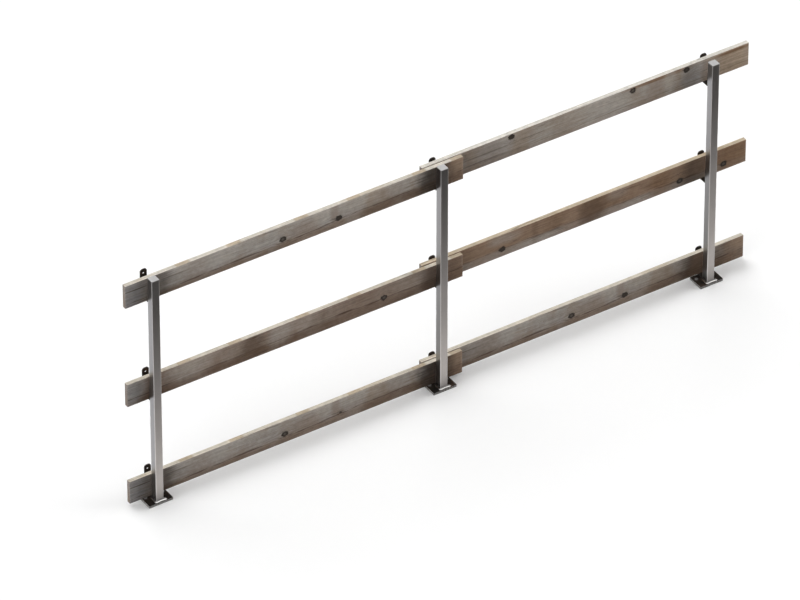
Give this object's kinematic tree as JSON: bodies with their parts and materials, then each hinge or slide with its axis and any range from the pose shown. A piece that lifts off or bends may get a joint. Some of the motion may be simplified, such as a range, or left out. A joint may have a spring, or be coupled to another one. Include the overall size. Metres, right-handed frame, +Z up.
{
  "type": "temporary edge protection railing",
  "caption": "Temporary guard railing: square steel posts on anchor plates, with bent flat-bar brackets that hold lapped timber toe boards and rails along an open edge.",
  "frame": {"origin": "under the axis of the middle post, on the underside of its base plate", "axes": "+X along the railing to the right, +Y from the posts to the boards, +Z up"},
  "size_m": [3.394, 0.1189, 1.266],
  "materials": {
    "galvanised_tube": "satin galvanised",
    "cap_steel": "satin galvanised",
    "plate_steel": "dark brown, worn to bare steel along its edges",
    "weld_zinc": "bright zinc over the weld",
    "bracket_steel": "dark brown mill scale",
    "weathered_timber": "sawn, weathered grey-brown, with pale sawn edges"
  },
  "bodies": {
    "root": {"left_base_plate": "plate_steel", "left_foot_weld": "weld_zinc", "left_post_tube": "galvanised_tube", "left_post_cap": "cap_steel", "middle_base_plate": "plate_steel", "middle_foot_weld": "weld_zinc", "middle_post_tube": "galvanised_tube", "middle_post_cap": "cap_steel", "right_base_plate": "plate_steel", "right_foot_weld": "weld_zinc", "right_post_tube": "galvanised_tube", "right_post_cap": "cap_steel", "left_toe_bracket": "bracket_steel", "left_mid_bracket": "bracket_steel", "left_top_bracket": "bracket_steel", "middle_toe_bracket": "bracket_steel", "middle_mid_bracket": "bracket_steel", "middle_top_bracket": "bracket_steel", "right_toe_bracket": "bracket_steel", "right_mid_bracket": "bracket_steel", "right_top_bracket": "bracket_steel", "left_bay_toe_board": "weathered_timber", "left_bay_mid_board": "weathered_timber", "left_bay_top_board": "weathered_timber", "right_bay_toe_board": "weathered_timber", "right_bay_mid_board": "weathered_timber", "right_bay_top_board": "weathered_timber"}
  },
  "joints": []
}
